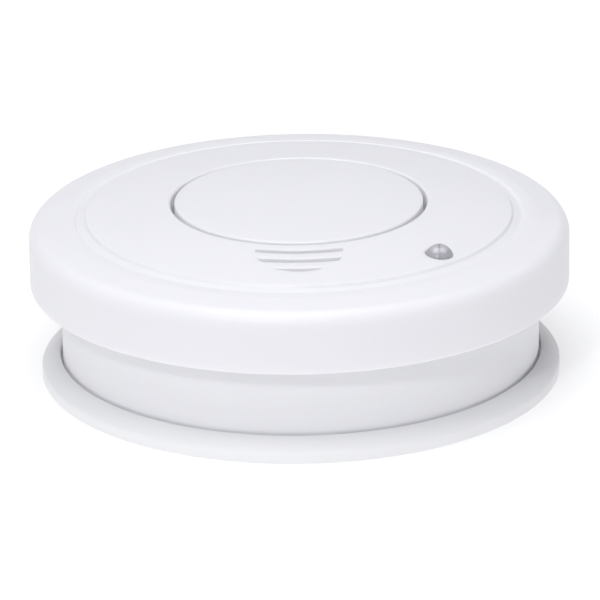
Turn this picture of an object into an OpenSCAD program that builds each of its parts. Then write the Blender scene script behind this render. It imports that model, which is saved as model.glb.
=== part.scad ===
// Ceiling smoke alarm: a battery-powered optical head that twists onto a mounting plate.
// Millimetres. +Z points from the ceiling into the room, the origin is the centre of the
// plate's ceiling face, and the sound slots are on the -Y side.

/* [Overall] */
// Height of the crown above the ceiling face
total_h = 36.2; // [35.5:0.1:46]
// Outer radius of the cover
cover_r = 53.5; // [53:0.1:66]
// Radius of the sphere that the cover's top follows
dome_r = 267; // [220:1:400]

/* [Front cover] */
// Wall thickness of the cover
cover_t = 2.2; // [1.8:0.1:2.4]
// Radius of the rounded outer edge
rim_round = 3; // [2.8:0.1:4]
// Height of the skirt's lower edge above the ceiling face
skirt_z = 19; // [17:0.1:21]
// Air gap between the skirt and the housing wall
inlet_gap = 3.8; // [3:0.1:4.5]
// Distance from the outer edge to the inner side of the ring groove
groove_inset = 11.4; // [10:0.1:12.5]
// Width of the ring groove
groove_w = 2; // [1:0.1:2.4]
// Depth of the ring groove
groove_depth = 0.6; // [0.3:0.1:1]
// How far the lip outside the groove lies below the dome
lip_drop = 0.3; // [0:0.1:0.5]
// Depth of the button well's floor below the crown
well_depth = 6; // [5:0.1:7]
// Thickness of the well's floor
deck_t = 1.4; // [1.2:0.1:2]

/* [Sound slots] */
// Number of slots
slot_count = 3; // [1:1:3]
// Radius of the first slot's centre line
slot_first_r = 28.6; // [28:0.1:30]
// Width of a slot
slot_w = 1.4; // [1:0.1:2]
// Distance from one slot to the next
slot_pitch = 3.75; // [3:0.05:4]
// Radius of the round field that the slots fill
slot_field_r = 8.45; // [6:0.1:9]

/* [Test button] */
// Radius of the button's cap
button_r = 24.6; // [19:0.1:24.8]
// Gap around the button
button_gap = 0.8; // [0.5:0.1:1]
// Wall of the cap
button_t = 1.6; // [1.2:0.1:2]
// How far the button travels
button_travel = 1.2; // [0.8:0.1:1.4]
// Radius of the stem
stem_r = 2.6; // [2:0.05:3.4]
// Radial clearance of the sliding parts
slide_fit = 0.05; // [0.03:0.01:0.08]
// Wire diameter of the return spring
spring_wire = 0.5; // [0.4:0.05:0.6]
// Turns of the return spring
spring_turns = 3; // [2:1:4]

/* [Housing] */
// Wall of the back housing
wall = 1.6; // [1.4:0.1:2]
// Number of smoke windows around the housing
window_count = 36; // [24:1:40]
// Width of the bars between the windows
window_bar = 2; // [1.6:0.1:3]
// Height of the windows' lower edge
window_z = 20.6; // [19:0.1:23]
// Distance from the housing wall to the screw posts
post_inset = 7; // [6.5:0.1:8]
// Radius of the housing screws
screw_r = 1.45; // [1.2:0.05:1.6]
// Length of the housing screws under the head
screw_l = 14; // [10:1:16]

/* [Mounting plate] */
// How far the plate's edge lies inside the cover's
plate_inset = 1.8; // [1:0.1:3]
// Thickness of the plate
plate_t = 1.6; // [1.4:0.1:2]
// Height of the plate's rim
rim_h = 4.6; // [4:0.1:5]
// Gap between the rim and the housing
rim_gap = 0.45; // [0.4:0.05:0.9]
// Radius of the plate's opening
plate_hole_r = 21; // [16:0.5:21]
// Distance between the two fixing slots
fixing_spacing = 60; // [56:1:64]
// Length of a fixing slot
fixing_slot_l = 12; // [8:0.5:14]
// Width of a fixing slot
fixing_slot_w = 4.5; // [4:0.1:5]
// Room above the plate for the fixing screws' heads
head_room = 3.2; // [2.8:0.1:3.6]
// Angle that the head turns through to come free
twist = 15; // [10:1:15]
// Angle that a hook's post takes up
hook_angle = 5; // [4:0.5:6]
// How far a hook reaches over the housing's floor
hook_reach = 4.5; // [3:0.5:5]

/* [Battery] */
// Length of the battery's body
battery_l = 46.4; // [38:0.1:47]
// Width of the battery
battery_w = 26.5; // [22:0.1:26.6]
// Thickness of the battery
battery_h = 17.5; // [14:0.1:17.6]
// Wall of the battery's steel can
can_t = 0.4; // [0.3:0.05:0.6]
// Distance between the battery's terminals
terminal_spacing = 12.7; // [12:0.1:13]
// Near side of the battery bay
bay_y = 10.6; // [10.4:0.1:10.8]

/* [Electronics] */
// Thickness of the circuit board
board_t = 1.6; // [1:0.1:2]
// Height of the board above the housing's floor
board_standoff = 3.6; // [3:0.1:4.2]
// Radius of the optical chamber
chamber_r = 17.5; // [14.5:0.1:17.6]
// Height of the optical chamber
chamber_h = 13.6; // [13:0.1:13.8]
// Radius of the sounder
sounder_r = 14.5; // [14.4:0.1:14.8]
// Height of the sounder
sounder_h = 13; // [12:0.1:13.2]
// Distance of the sounder's centre from the middle
sounder_y = 28.2; // [28:0.1:28.6]
// Radius of the indicator's dome
lens_r = 2.65; // [2.2:0.05:3.4]
// Height of the indicator's dome
lens_rise = 1.9; // [0.8:0.1:2.2]

/* [Hidden] */
$fn = 96;
slop = 0.1;

shell_white = "#f2f3f4";
board_green = "#2f6b45";
chamber_black = "#1c1c1e";

// The cover's top is part of a sphere, and its rounded edge is tangent to that sphere.
dome_cz = total_h - dome_r;
edge_r = cover_r - rim_round;
edge_cz = dome_cz + sqrt(pow(dome_r - rim_round, 2) - pow(edge_r, 2));
edge_angle = acos(edge_r / (dome_r - rim_round));
function sphere_z(rad, r) = dome_cz + sqrt(rad * rad - r * r);
function top_z(r) = sphere_z(dome_r, r);
function under_z(r) = sphere_z(dome_r - cover_t, r);
function dome_run(rad, r0, r1, n) =
    [for (i = [0:n]) let (r = r0 + (r1 - r0) * i / n) [r, sphere_z(rad, r)]];
function arc(cr, cz, rad, a0, a1, n) =
    [for (i = [0:n]) let (a = a0 + (a1 - a0) * i / n) [cr + rad * cos(a), cz + rad * sin(a)]];

skirt_in_r = cover_r - cover_t;
housing_r = skirt_in_r - inlet_gap;
housing_in_r = housing_r - wall;
groove_r = cover_r - groove_inset;
groove_bevel = 0.3;
lip_w = 2;
hole_r = button_r + button_gap;
hole_bevel = 0.5;
well_out_r = hole_r + 1.5;
deck_top = total_h - well_depth;
deck_z = deck_top - deck_t;
bore_r = stem_r + slide_fit;
guide_r = bore_r + 1.4;
guide_z = deck_z - 2;

plate_r = cover_r - plate_inset;
rim_in_r = housing_r + rim_gap;
plate_edge_h = 2;
rim_round_r = 0.9;
rim_edge = 0.3;
rim_slope = atan((rim_h - plate_edge_h) / (plate_r - rim_in_r - rim_edge));
floor_z = plate_t + head_room;
floor_in = floor_z + wall;
skirt_foot = plate_t + 0.6;
wall_top = under_z(housing_r) - 0.2;
rib_r = housing_in_r - 0.2;
rib_t = 1.2;
rib_h = 2.2;

hook_angles = [90, 210, 330];
hook_r = housing_in_r - 3.1;
hook_w = 2.2;
hook_gap = 0.3;
hook_arm_z = floor_in + 0.2;
hook_arm_t = 1.6;

board_z = floor_in + board_standoff;
board_top = board_z + board_t;
board_r = housing_in_r - 1.9;
post_r = housing_r - post_inset;
post_angles = [20, 160, 240, 300];
boss_r = 4.2;
boss_top = floor_in + 6;
post_gap = 0.1;
screw_head_r = 2.9;
screw_head_h = 2.2;
screw_seat_z = floor_z + 3;
board_screw_at = [[-6, 5], [37, -3], [17, -19]];

bay_clear = 0.35;
bay_wall = 1.2;
contact_room = 5.6;
bay_l = battery_l + contact_room;
bay_w = battery_w + 2 * bay_clear;
bay_mid_y = bay_y + bay_w / 2;
battery_z = floor_z + 0.4;
battery_mid_z = battery_z + battery_h / 2;
bay_roof = battery_z + battery_h + 0.5;
bay_top = bay_roof + bay_wall;
battery_x = -bay_l / 2 + 0.4;
battery_end_x = battery_x + battery_l;
battery_end_t = 1;
battery_edge_r = 2.4;
can_open_x = battery_end_x - battery_end_t;
// Six round cells lie in the can, three abreast and two high, with a gap about each.
cell_gap = 0.1;
cell_r = min((battery_w - 2 * can_t - 4 * cell_gap) / 6,
    (battery_h - 2 * can_t - 3 * cell_gap) / 4);
cell_pitch = 2 * cell_r + cell_gap;
cell_x = battery_x + can_t + cell_gap;
stud_r = 2.85;
stud_l = 2.1;
socket_in_r = stud_r + 0.1;
socket_out_r = 4;
block_t = 2.3;
block_x = bay_l / 2 - block_t;
block_w = 22;
lead_r = 0.6;
lead_bend = 1.5;
lead_x = bay_l / 2 - 1.2;
lead_z = [for (i = [0:1]) board_top + lead_bend + 0.6 + 2.2 * i];

lever_w = 7;
lever_l = 24;
lever_x = battery_x + 4;
lever_gap = 0.35;
pin_r = 1;
lever_wire = 0.4;
lever_coil_r = pin_r + 0.3;
pin_z = bay_top + lever_coil_r + lever_wire / 2 + 0.1;
pivot_w = 2;

chamber_at = [-26, -8.5];
flange_h = 1;
screen_t = 0.2;
screen_r = chamber_r - 0.5;
vane_count = 20;
optic_z = board_top + chamber_h / 2;
optic_angles = [210, 330];
optic_r = 2.5;
optic_l = 8.6;
optic_gap = 4;
leg_r = 0.25;

sounder_at = [0, -sounder_y];
disc_r = 13.5;
disc_t = 0.3;
disc_z = board_top + 5.2;
ceramic_r = 10;
ceramic_t = 0.2;
horn_top = board_top + sounder_h;
duct_in_r = slot_field_r + 0.3;
duct_t = 1.2;
duct_z = horn_top + 0.4;

lens_at = [26.9, -27.2];
lens_z = top_z(norm(lens_at)) - 0.15;
collar_h = 3;
collar_z = under_z(norm(lens_at)) - collar_h;
rod_r = 1.6;
light_h = 1.1;

switch_w = 6;
switch_h = 3.5;
plunger_r = 1.75;
plunger_top = board_top + 9.5;
plunger_travel = 0.25;
stem_z = plunger_top + button_travel - plunger_travel + 0.02;

module ring(r_out, r_in, z0, z1) {
    translate([0, 0, z0])
    difference() {
        cylinder(r = r_out, h = z1 - z0);
        translate([0, 0, -slop]) cylinder(r = r_in, h = z1 - z0 + 2 * slop);
    }
}

// A piece of ring between the angles a0 and a1.
module ring_part(r_in, r_out, z0, z1, a0, a1) {
    translate([0, 0, z0])
    rotate([0, 0, a0])
    rotate_extrude(angle = a1 - a0)
    translate([r_in, 0])
    square([r_out - r_in, z1 - z0]);
}

module rod(r, z0, z1) {
    translate([0, 0, z0]) cylinder(r = r, h = z1 - z0);
}

module box(x, y, z0, z1) {
    translate([-x / 2, -y / 2, z0]) cube([x, y, z1 - z0]);
}

module at_posts() {
    for (a = post_angles) rotate([0, 0, a]) translate([post_r, 0, 0]) children();
}

module at_board_screws() {
    for (p = board_screw_at) translate(p) children();
}

// What lies under the middle of the cover's wall, so that posts and ribs end inside it.
module under_cover() {
    intersection() {
        children();
        rotate_extrude()
        polygon(concat([[0, 0], [skirt_in_r + 1, 0]],
            dome_run(dome_r - cover_t / 2, skirt_in_r + 1, 0, 12)));
    }
}

// A helix of round wire about Z, as a tube of eight sides.
module coil(wire, rad, z0, z1, turns) {
    sides = 8;
    steps = 20 * turns;
    points = [for (i = [0:steps], j = [0:sides - 1])
        let (a = 360 * turns * i / steps, b = 360 * j / sides,
            r = rad + wire / 2 * cos(b))
        [r * cos(a), r * sin(a), z0 + (z1 - z0) * i / steps + wire / 2 * sin(b)]];
    walls = [for (i = [0:steps - 1], j = [0:sides - 1])
        let (k = (j + 1) % sides)
        [i * sides + j, (i + 1) * sides + j, (i + 1) * sides + k, i * sides + k]];
    start = [[for (j = [0:sides - 1]) j]];
    finish = [[for (j = [0:sides - 1]) (steps + 1) * sides - 1 - j]];
    polyhedron(points, concat(walls, start, finish), convexity = 10);
}

// ---- Mounting plate -------------------------------------------------------------------

module fixing_slot() {
    for (s = [-1, 1]) translate([s * (fixing_slot_l - fixing_slot_w) / 2, 0, -slop])
        cylinder(d = fixing_slot_w, h = plate_t + 2 * slop);
    box(fixing_slot_l - fixing_slot_w, fixing_slot_w, -slop, plate_t + slop);
}

// An L-shaped hook of the twist lock: the housing's floor turns in under its arm.
module twist_hook(a) {
    in_r = hook_r - hook_w / 2;
    end = a + hook_angle / 2 + hook_reach;
    difference() {
        ring_part(in_r, in_r + hook_w, plate_t - slop, hook_arm_z + hook_arm_t,
            a - hook_angle / 2, end);
        ring_part(in_r - 1, in_r + hook_w + 1, plate_t - 2 * slop, hook_arm_z,
            a + hook_angle / 2, end + 1);
    }
}

// The rim's top slopes down and out, and this arc turns it into the upright outer edge.
function rim_corner() =
    let (tangent = rim_round_r * tan(45 - rim_slope / 2))
    arc(plate_r - rim_round_r, plate_edge_h - tangent, rim_round_r, 0, 90 - rim_slope, 6);

module mounting_plate() {
    core_in_r = rim_in_r + 1.2;
    lip_t = 1.2;
    color(shell_white)
    difference() {
        union() {
            rotate_extrude()
            polygon(concat([[plate_hole_r, 0], [plate_r - 0.4, 0], [plate_r, 0.4]],
                rim_corner(),
                [[rim_in_r + rim_edge, rim_h], [rim_in_r, rim_h - rim_edge], [rim_in_r, plate_t],
                    [plate_hole_r + lip_t, plate_t], [plate_hole_r + lip_t, plate_t + 0.8],
                    [plate_hole_r, plate_t + 0.8]]));
            for (a = hook_angles) twist_hook(a);
        }
        ring(core_in_r + 1, core_in_r, -slop, plate_t + 0.4);
        for (s = [-1, 1]) translate([s * fixing_spacing / 2, 0, 0]) fixing_slot();
    }
}

// ---- Back housing ---------------------------------------------------------------------

module bay_box(extra, z0, z1) {
    translate([-bay_l / 2 - extra, bay_y - extra, z0])
    cube([bay_l + 2 * extra, bay_w + 2 * extra, z1 - z0]);
}

module smoke_windows() {
    top = wall_top - 1.6;
    low_angle = 50;
    open_w = 2 * PI * housing_r / window_count - window_bar;
    for (i = [0:window_count - 1]) {
        a = 360 * (i + 0.5) / window_count;
        low = abs(a - 90) < low_angle ? max(window_z, bay_top + 0.6) : window_z;
        rotate([0, 0, a])
        translate([housing_r - wall / 2, 0, 0])
        box(2 * wall, open_w, low, top);
    }
}

module lead_hole(z) {
    translate([lead_x, bay_y - bay_wall - slop, z])
    rotate([-90, 0, 0])
    cylinder(r = lead_r + 0.3, h = bay_wall + 2 * slop);
}

module back_housing() {
    color(shell_white)
    difference() {
        union() {
            ring(housing_r, housing_in_r, skirt_foot, wall_top);
            rod(housing_r - slop, floor_z, floor_in);
            intersection() {
                bay_box(bay_wall, floor_z, bay_top);
                rod(housing_r - slop, 0, total_h);
            }
            at_posts() rod(boss_r, floor_z, boss_top);
            at_board_screws() rod(2.6, floor_in - slop, board_z);
            for (s = [-1, 1])
                translate([lever_x, bay_mid_y + s * (lever_w / 2 + lever_gap + pivot_w / 2), 0])
                box(4, pivot_w, bay_top - slop, pin_z + pin_r + 0.8);
        }
        smoke_windows();
        bay_box(0, floor_z - slop, bay_roof);
        translate([lever_x - 2 - lever_gap, bay_mid_y - lever_w / 2 - lever_gap, bay_roof - slop])
        cube([lever_l + 2 + 2 * lever_gap, lever_w + 2 * lever_gap, bay_wall + 2 * slop]);
        translate([lever_x, bay_mid_y, pin_z])
        rotate([90, 0, 0])
        cylinder(r = pin_r + slide_fit, h = bay_w, center = true);
        at_posts() {
            rod(screw_head_r + 0.3, floor_z - slop, screw_seat_z);
            rod(screw_r + 0.2, floor_z, boss_top + slop);
        }
        at_board_screws() rod(0.95, floor_in + 0.6, board_z + slop);
        for (a = hook_angles)
            ring_part(hook_r - hook_w / 2 - hook_gap, hook_r + hook_w / 2 + hook_gap,
                floor_z - slop, floor_in + slop,
                a - twist - hook_angle / 2 - 1, a + hook_angle / 2 + 0.5);
        for (z = lead_z) lead_hole(z);
    }
}

// ---- Front cover ----------------------------------------------------------------------

module cover_shell() {
    lip_r = groove_r + groove_w + groove_bevel;
    foot = 0.4;
    rotate_extrude()
    polygon(concat(
        [[skirt_in_r, skirt_z], [cover_r - foot, skirt_z], [cover_r, skirt_z + foot]],
        arc(edge_r, edge_cz, rim_round, 0, edge_angle, 7),
        dome_run(dome_r, edge_r, lip_r + lip_w, 3),
        [[lip_r, top_z(lip_r) - lip_drop],
            [groove_r + groove_w, top_z(groove_r + groove_w) - groove_depth - lip_drop],
            [groove_r + groove_bevel, top_z(groove_r) - groove_depth]],
        dome_run(dome_r, groove_r, hole_r + hole_bevel, 6),
        [[hole_r, top_z(hole_r) - hole_bevel], [hole_r, deck_top], [bore_r, deck_top],
            [bore_r, guide_z], [guide_r, guide_z], [guide_r, deck_z], [well_out_r, deck_z]],
        dome_run(dome_r - cover_t, well_out_r, edge_r, 8),
        arc(edge_r, edge_cz, rim_round - cover_t, edge_angle, 0, 4)));
}

module sound_slots() {
    intersection() {
        for (i = [0:slot_count - 1]) {
            mid = slot_first_r + i * slot_pitch;
            ring_part(mid - slot_w / 2, mid + slot_w / 2, deck_top, total_h, 240, 300);
        }
        translate(sounder_at) rod(slot_field_r, deck_top, total_h);
    }
}

// The slots in the well's floor that the button's hooks pass through.
module hook_slots() {
    at_button_hooks() translate([0.2, 0, 0]) box(button_hook_t + 0.8, button_hook_w + 0.6,
        deck_z - slop, deck_top + slop);
}

module front_cover() {
    color(shell_white)
    difference() {
        union() {
            cover_shell();
            under_cover() {
                at_posts() rod(3.4, boss_top + post_gap, total_h);
                translate(lens_at) rod(lens_r + 1.6, collar_z, total_h);
                ring(rib_r, rib_r - rib_t, under_z(rib_r) - rib_h, total_h);
            }
            under_cover() difference() {
                translate(sounder_at) ring(duct_in_r + duct_t, duct_in_r, duct_z, total_h);
                rod(hole_r + 0.7, deck_z + 0.7, total_h + slop);
            }
        }
        sound_slots();
        hook_slots();
        translate(lens_at) rod(lens_r + slide_fit, collar_z - slop, total_h);
        at_posts() rod(screw_r + slide_fit, boss_top, screw_seat_z + screw_l + 1);
    }
}

// ---- Test button ----------------------------------------------------------------------

button_hook_t = 1.6;
button_hook_w = 4;
button_hook_r = button_r - 6.6;
button_hook_barb = 0.9;

module at_button_hooks() {
    for (a = hook_angles) rotate([0, 0, a]) translate([button_hook_r, 0, 0]) children();
}

module test_button() {
    soft = 0.5;
    foot = deck_top + button_travel + 0.4;
    barb_top = deck_z - 0.1;
    barb_foot = barb_top - 1.6;
    color(shell_white)
    union() {
        rotate_extrude()
        polygon(concat([[0, stem_z], [stem_r, stem_z]],
            dome_run(dome_r - button_t, stem_r, button_r - button_t, 6),
            [[button_r - button_t, foot], [button_r, foot], [button_r, top_z(button_r) - soft]],
            dome_run(dome_r, button_r - soft, 0, 8)));
        at_button_hooks() {
            box(button_hook_t, button_hook_w, barb_foot, top_z(button_hook_r + 2) - button_t / 2);
            translate([button_hook_barb / 2 + 0.2, 0, 0])
            box(button_hook_t + button_hook_barb, button_hook_w, barb_foot, barb_top);
        }
    }
}

module button_spring() {
    rad = stem_r + 2.4;
    seat = total_h - button_t - 0.1;
    color("silver")
    coil(spring_wire, rad, deck_top + spring_wire / 2, seat - spring_wire / 2, spring_turns);
}

module test_switch_body() {
    color(chamber_black)
    difference() {
        union() {
            box(switch_w, switch_w, board_top, board_top + switch_h);
            rod(plunger_r + 0.8, board_top, board_top + switch_h + 0.4);
        }
        rod(plunger_r + slide_fit, board_top + 1.5, board_top + switch_h + 1);
    }
}

module test_switch_plunger() {
    color("#3b3b3d") rod(plunger_r, board_top + 1.8, plunger_top);
}

// ---- Indicator ------------------------------------------------------------------------

module indicator_lens() {
    cap_r = (lens_r * lens_r + lens_rise * lens_rise) / (2 * lens_rise);
    cap_angle = asin(lens_r / cap_r);
    flange_z = collar_z - 0.8;
    color("#c4c8cc", 0.7)
    translate(lens_at)
    rotate_extrude()
    polygon(concat(
        [[0, board_top + light_h + 0.4], [rod_r, board_top + light_h + 0.4], [rod_r, flange_z],
            [lens_r + 1.2, flange_z], [lens_r + 1.2, collar_z], [lens_r, collar_z]],
        arc(0, lens_z + lens_rise - cap_r, cap_r, 90 - cap_angle, 90, 8)));
}

module board_light() {
    color("#e9e4c8") translate(lens_at) box(3.2, 1.6, board_top, board_top + light_h);
}

// ---- Fasteners and label --------------------------------------------------------------

// A cross-recess screw whose head points to -Z and seats at z = 0.
module pan_screw(head_r, head_h, r, l) {
    difference() {
        union() {
            rod(r, 0, l - r);
            translate([0, 0, l - r]) cylinder(r1 = r, r2 = 0.3, h = r);
            translate([0, 0, -head_h]) cylinder(r1 = head_r * 0.75, r2 = head_r, h = head_h);
        }
        for (a = [0, 90]) rotate([0, 0, a]) box(head_r * 1.1, head_r * 0.3, -head_h - slop,
            -head_h * 0.4);
    }
}

module housing_screws() {
    color("silver")
    at_posts() translate([0, 0, screw_seat_z]) pan_screw(screw_head_r, screw_head_h, screw_r,
        screw_l);
}

module board_screws() {
    color("silver")
    at_board_screws() translate([0, 0, board_top]) mirror([0, 0, 1])
        pan_screw(2.2, 1.5, 0.9, board_t + board_standoff - 0.8);
}

module rating_label() {
    color("#e6e7e8") translate([0, -12, 0]) box(34, 20, floor_z - 0.12, floor_z);
}

// ---- Circuit board --------------------------------------------------------------------

module optic_leg_holes() {
    for (a = optic_angles) translate(chamber_at) rotate([0, 0, a])
        for (s = [-1, 1]) translate([optic_gap + optic_l + 1.2, s * 1.27, 0])
            rod(leg_r + 0.2, board_z - slop, board_top + 3);
}

module circuit_board() {
    edge_y = bay_y - bay_wall - 0.5;
    color(board_green)
    difference() {
        rod(board_r, board_z, board_top);
        translate([-board_r - 1, edge_y, board_z - slop])
        cube([2 * board_r + 2, board_r, board_t + 2 * slop]);
        at_posts() rod(boss_r + 0.6, board_z - slop, board_top + slop);
        at_board_screws() rod(1.05, board_z - slop, board_top + slop);
        optic_leg_holes();
    }
}

chip_at = [12, -4];

module control_chip() {
    color(chamber_black) translate(chip_at) box(3.9, 9.9, board_top + 0.2, board_top + 1.7);
}

module chip_legs() {
    pitch = 1.27;
    color("silver")
    translate(chip_at)
    for (s = [-1, 1], i = [0:7]) translate([s * 2.5, (i - 3.5) * pitch, 0]) {
        box(1.1, 0.4, board_top + 0.8, board_top + 1);
        translate([s * 0.45, 0, 0]) box(0.2, 0.4, board_top, board_top + 1);
        translate([s * 0.75, 0, 0]) box(0.7, 0.4, board_top, board_top + 0.2);
    }
}

module capacitor_can(r, h) {
    color("#27406b")
    difference() {
        rod(r, board_top, board_top + h);
        ring(r + slop, r - 0.25, board_top + 1, board_top + 1.6);
    }
}

module capacitors() {
    translate([19.6, 3.2, 0]) capacitor_can(4, 11);
    translate([29, 4, 0]) capacitor_can(2.5, 7);
    translate([2, -9.5, 0]) capacitor_can(2, 6);
}

coil_at = [31, -8];

module drive_coil() {
    color("#2c2c30")
    translate(coil_at) {
        rod(5, board_top + 0.5, board_top + 2);
        rod(3.6, board_top + 2, board_top + 10);
        rod(5, board_top + 10, board_top + 11.5);
    }
}

module drive_coil_legs() {
    color("silver")
    translate(coil_at)
    for (a = [90, 210, 330]) rotate([0, 0, a]) translate([3, 0, 0])
        rod(0.35, board_top, board_top + 0.5);
}

module chip_part(x, y, h) {
    box(x, y, board_top, board_top + h);
}

module surface_resistors() {
    color("#303033")
    for (i = [0:4], j = [0:1]) translate([22.5 + 2.6 * i, -15.2 - 3 * j, 0]) chip_part(1.25, 2, 0.5);
}

module surface_capacitors() {
    color("#b79a76")
    for (i = [0:3]) translate([39.5, -7.5 - 2.4 * i, 0]) chip_part(2, 1.25, 0.9);
}

module transistors() {
    color(chamber_black)
    for (i = [0:1]) translate([11 + 4 * i, -12.5, 0]) chip_part(2.9, 1.3, 1.1);
}

// ---- Optical chamber ------------------------------------------------------------------

module at_optics() {
    for (a = optic_angles) rotate([0, 0, a]) children();
}

// Light-trap vanes: each is a slanted blade, and two are left out of each optic's way.
module vanes() {
    top = board_top + chamber_h - 1.8;
    for (i = [0:vane_count - 1]) {
        a = 360 * i / vane_count;
        near = min([for (b = optic_angles) abs((a - b + 540) % 360 - 180)]);
        if (near > 17) rotate([0, 0, a]) translate([screen_r - 3, 0, 0]) rotate([0, 0, 40])
            box(4.6, 0.9, board_top + 1.5, top);
    }
}

module chamber_base() {
    floor_top = board_top + 2;
    color(chamber_black)
    difference() {
        union() {
            translate(chamber_at) {
                rod(chamber_r, board_top, board_top + flange_h);
                rod(screen_r - slop, board_top, floor_top);
                vanes();
                at_optics() translate([optic_gap + optic_l / 2 + 0.5, 0, 0])
                    box(optic_l - 1, 2 * optic_r + 2.6, board_top + 1, optic_z + 1.2);
            }
        }
        translate(chamber_at) at_optics() {
            translate([optic_gap - 1, 0, optic_z]) rotate([0, 90, 0])
            cylinder(r = optic_r + slide_fit, h = optic_l + 3);
        }
        optic_leg_holes();
    }
}

module chamber_cap() {
    low = board_top + chamber_h - 1;
    color(chamber_black)
    translate(chamber_at) {
        rod(chamber_r, low, low + 1);
        rod(screen_r - slop, low - 0.8, low);
    }
}

module insect_screen() {
    color("#9aa0a6")
    translate(chamber_at)
    ring(screen_r + screen_t, screen_r, board_top + flange_h, board_top + chamber_h - 1);
}

// A five-millimetre optic lying along +X, with a domed nose and a flange at its back.
module optic(colour, a) {
    color(colour)
    translate([chamber_at[0], chamber_at[1], optic_z])
    rotate([0, 0, a])
    translate([optic_gap, 0, 0])
    rotate([0, 90, 0])
    rotate_extrude()
    polygon(concat([[0, 0]], arc(0, optic_r, optic_r, -90, 0, 6),
        [[optic_r, optic_l], [0, optic_l]]));
}

module optic_legs(a) {
    color("silver")
    translate([chamber_at[0], chamber_at[1], optic_z])
    rotate([0, 0, a])
    for (s = [-1, 1]) translate([optic_gap + optic_l, s * 1.27, 0]) {
        rotate([0, 90, 0]) cylinder(r = leg_r, h = 1.2);
        translate([1.2, 0, 0]) sphere(r = leg_r);
        translate([1.2, 0, board_z - optic_z]) cylinder(r = leg_r, h = optic_z - board_z);
    }
}

module infrared_emitter() { optic("#b9c4d6", optic_angles[0]); }
module emitter_legs() { optic_legs(optic_angles[0]); }
module photodiode() { optic("#202028", optic_angles[1]); }
module photodiode_legs() { optic_legs(optic_angles[1]); }

// ---- Sounder --------------------------------------------------------------------------

module sounder_base() {
    color(shell_white)
    translate(sounder_at)
    rotate_extrude()
    polygon([[disc_r - 1, board_top], [sounder_r, board_top], [sounder_r, disc_z + 1.4],
        [disc_r + 0.1, disc_z + 1.4], [disc_r + 0.1, disc_z], [disc_r - 1, disc_z]]);
}

module sounder_disc() {
    color("#c9a24d") translate(sounder_at) rod(disc_r, disc_z, disc_z + disc_t);
}

module sounder_ceramic() {
    color("#e8e2d0") translate(sounder_at) rod(ceramic_r, disc_z - ceramic_t, disc_z);
}

// Three blades that stand on the board: two touch the ceramic, and one touches the brass.
module sounder_contacts() {
    color("silver")
    translate(sounder_at)
    for (k = [[0, 4, disc_z - ceramic_t], [120, 8, disc_z - ceramic_t], [240, 11, disc_z]])
        rotate([0, 0, k[0]]) translate([k[1], 0, 0]) {
            box(0.3, 1.4, board_top, k[2]);
            translate([0.5, 0, 0]) box(1.3, 1.4, board_top, board_top + 0.3);
        }
}

module sounder_horn() {
    mouth_r = 3;
    seat = disc_z + disc_t;
    color(shell_white)
    translate(sounder_at)
    rotate_extrude()
    polygon([[disc_r - 1.2, seat], [disc_r, seat], [disc_r, disc_z + 1.4],
        [sounder_r, disc_z + 1.4], [sounder_r, horn_top - 1], [sounder_r - 1, horn_top],
        [mouth_r, horn_top], [mouth_r, horn_top - 1.6], [disc_r - 1.2, horn_top - 1.6]]);
}

// ---- Battery and its contacts ---------------------------------------------------------

// A bar along +X between two places, with rounded long edges, about the battery's middle
// line. Inset is how far it lies inside the battery's outline.
module battery_bar(x0, x1, inset = 0) {
    round = battery_edge_r - inset;
    w = battery_w - 2 * inset;
    h = battery_h - 2 * inset;
    translate([x0, bay_mid_y, battery_mid_z]) rotate([90, 0, 90]) {
        translate([-w / 2 + round, -h / 2, 0]) cube([w - 2 * round, h, x1 - x0]);
        translate([-w / 2, -h / 2 + round, 0]) cube([w, h - 2 * round, x1 - x0]);
        for (s = [-1, 1], t = [-1, 1])
            translate([s * (w / 2 - round), t * (h / 2 - round), 0])
            cylinder(r = round, h = x1 - x0);
    }
}

// The can, open at the terminals' end
module battery() {
    color("#3d4a63")
    difference() {
        battery_bar(battery_x, can_open_x);
        battery_bar(battery_x + can_t, can_open_x + slop, can_t);
    }
}

module battery_cells() {
    color("#b9bcc0")
    for (i = [-1 : 1], s = [-1, 1])
        translate([cell_x, bay_mid_y + i * cell_pitch, battery_mid_z + s * cell_pitch / 2])
        rotate([0, 90, 0])
        cylinder(r = cell_r, h = can_open_x - cell_gap - cell_x);
}

module battery_end_plate() {
    color("#2a2a2c") battery_bar(can_open_x, battery_end_x);
}

// A round thing along +X, at one of the battery's two terminals.
module on_terminal(side, x) {
    translate([x, bay_mid_y + side * terminal_spacing / 2, battery_mid_z])
    rotate([0, 90, 0])
    children();
}

module battery_positive_stud() {
    color("silver") on_terminal(-1, battery_end_x) cylinder(r = stud_r, h = stud_l);
}

module battery_negative_socket() {
    color("silver") on_terminal(1, battery_end_x) ring(socket_out_r, socket_in_r, 0, stud_l);
}

module contact_block() {
    color(chamber_black)
    translate([block_x, bay_mid_y - block_w / 2, battery_mid_z - 6])
    cube([block_t, block_w, 12]);
}

module snap_socket() {
    reach = block_x - battery_end_x - 0.2;
    color("silver") on_terminal(-1, block_x - reach) ring(socket_out_r, socket_in_r, 0, reach);
}

module snap_stud() {
    reach = block_x - battery_end_x - 0.5;
    color("silver") on_terminal(1, block_x - reach) cylinder(r = stud_r, h = reach);
}

// A lead from the contact block, through the bay's wall and down onto the board.
module battery_lead(colour, z, run) {
    start_y = bay_mid_y - block_w / 2;
    end_y = bay_y - bay_wall - run;
    color(colour)
    translate([lead_x, 0, 0]) {
        translate([0, start_y, z]) rotate([90, 0, 0]) cylinder(r = lead_r, h = start_y - end_y);
        translate([0, end_y, z - lead_bend]) rotate([90, 0, -90])
        rotate_extrude(angle = 90) translate([lead_bend, 0]) circle(r = lead_r);
        translate([0, end_y - lead_bend, board_top]) cylinder(r = lead_r,
            h = z - lead_bend - board_top);
    }
}

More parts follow.
